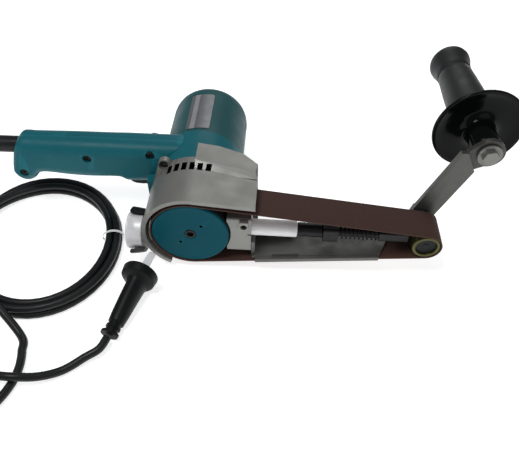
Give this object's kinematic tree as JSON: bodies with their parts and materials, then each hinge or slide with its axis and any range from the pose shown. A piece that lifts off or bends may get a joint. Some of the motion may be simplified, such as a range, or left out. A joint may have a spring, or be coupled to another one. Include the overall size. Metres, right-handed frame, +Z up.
{
  "type": "belt grinder",
  "caption": "Hand-held electric belt grinder: long narrow sanding belt on a sprung arm, motor with a cast gear case, rear handle, side grip on a strap, and a coiled cord with a two-blade plug.",
  "frame": {"origin": "middle of the footprint of the tool without its free cord, at the height of the surface it lies on", "axes": "+X along the belt arm towards the idler, +Y along the motor axis away from the belt side, +Z up"},
  "size_m": [0.5157, 0.3417, 0.1393],
  "materials": {
    "abrasive_belt": "coarse abrasive grit on cloth",
    "cast_alloy": "matt sand-cast",
    "teal_plastic": "satin moulded teal",
    "black_plastic": "satin black",
    "grip_rubber": "ribbed charcoal",
    "cord_rubber": "matt black",
    "roller_rubber": "matt black",
    "silver_plastic": "silver painted",
    "label_foil": "satin foil",
    "steel": "bright",
    "black_steel": "blackened",
    "roller_plastic": "satin",
    "armature_steel": "laminated",
    "copper": "bare copper",
    "tie_plastic": "white"
  },
  "bodies": {
    "housing": {"gear_casting": "cast_alloy", "motor_collar": "teal_plastic", "motor_housing": "teal_plastic", "handle_front": "teal_plastic", "handle_rear": "teal_plastic", "handle_screw_1": "steel", "handle_screw_2": "steel", "handle_screw_3": "steel", "switch_body": "black_plastic", "field_core": "black_steel", "brush_left": "copper", "brush_right": "copper", "brush_cap_left": "black_plastic", "brush_cap_right": "black_plastic", "bearing_plate": "cast_alloy", "motor_bearing_front": "steel", "motor_bearing_rear": "steel", "spindle_bearing": "steel", "casting_screw": "steel", "nameplate": "label_foil", "dust_port": "silver_plastic", "port_latch_top": "black_plastic", "port_latch_bottom": "black_plastic", "strain_relief": "cord_rubber", "cord_feed": "cord_rubber", "cord_coil": "cord_rubber", "cord_tail": "cord_rubber", "cord_tie": "tie_plastic", "plug_body": "black_plastic", "plug_pin_1": "steel", "plug_pin_2": "steel"},
    "rotor": {"armature": "armature_steel", "commutator": "copper", "motor_fan": "black_plastic"},
    "counter": {"countershaft": "steel"},
    "drive": {"spindle": "steel", "pulley_hub": "black_plastic", "pulley_tyre": "roller_rubber", "pulley_cover": "teal_plastic", "pulley_screw": "steel"},
    "arm": {"arm_holder": "black_steel", "holder_screw": "steel", "arm_tube": "steel", "arm_sleeve": "black_steel", "tension_nut": "black_steel", "tension_spring": "steel", "platen": "steel", "abrasive_belt": "abrasive_belt"},
    "fork": {"idler_fork": "black_steel", "idler_axle": "steel"},
    "idler": {"idler_roller": "roller_plastic", "idler_cap": "black_steel"},
    "strap": {"grip_strap": "steel", "strap_nut": "steel"},
    "grip": {"side_grip": "grip_rubber", "grip_flange": "black_plastic", "grip_bolt": "steel"},
    "trigger": {"trigger": "black_plastic"},
    "lock": {"lock_button": "teal_plastic"}
  },
  "joints": [
    {"name": "rotor_spin", "type": "hinge", "parent": "housing", "child": "rotor", "pos_m": [-0.031, 0.0132, 0.04], "axis": [0, 1, 0], "continuous": true},
    {"name": "counter_spin", "type": "hinge", "parent": "housing", "child": "counter", "pos_m": [-0.031, -0.0348, 0.022], "axis": [0, 1, 0], "continuous": true},
    {"name": "drive_spin", "type": "hinge", "parent": "housing", "child": "drive", "pos_m": [-0.031, -0.0738, 0.04], "axis": [0, 1, 0], "continuous": true},
    {"name": "arm_swing", "type": "hinge", "parent": "housing", "child": "arm", "pos_m": [-0.031, -0.0738, 0.04], "axis": [0, 1, 0], "range_deg": [0, 15]},
    {"name": "idler_tension", "type": "slide", "parent": "arm", "child": "fork", "axis": [0.9997, 0, -0.0258], "range_m": [-0.006, 0], "stiffness_N_per_m": 1500, "springref_m": 0.008, "deforming": ["tension_spring"]},
    {"name": "idler_spin", "type": "hinge", "parent": "fork", "child": "idler", "pos_m": [0.16264, -0.0738, 0.035], "axis": [0, 1, 0], "continuous": true},
    {"name": "strap_swing", "type": "hinge", "parent": "fork", "child": "strap", "pos_m": [0.16264, -0.0488, 0.035], "axis": [0, 1, 0], "range_deg": [-45, 60]},
    {"name": "grip_turn", "type": "hinge", "parent": "strap", "child": "grip", "pos_m": [0.203, -0.0478, 0.102], "axis": [-0.048, 0.9988, 0], "continuous": true},
    {"name": "trigger_press", "type": "slide", "parent": "housing", "child": "trigger", "axis": [0, 0, 1], "range_m": [0, 0.005], "stiffness_N_per_m": 600},
    {"name": "lock_press", "type": "slide", "parent": "housing", "child": "lock", "axis": [0, -1, 0], "range_m": [0, 0.0025], "stiffness_N_per_m": 400}
  ],
  "couplings": [
    {"joint": "counter_spin", "follows": "rotor_spin", "ratio": -0.5},
    {"joint": "drive_spin", "follows": "rotor_spin", "ratio": 0.33333},
    {"joint": "idler_spin", "follows": "rotor_spin", "ratio": 0.8898}
  ]
}
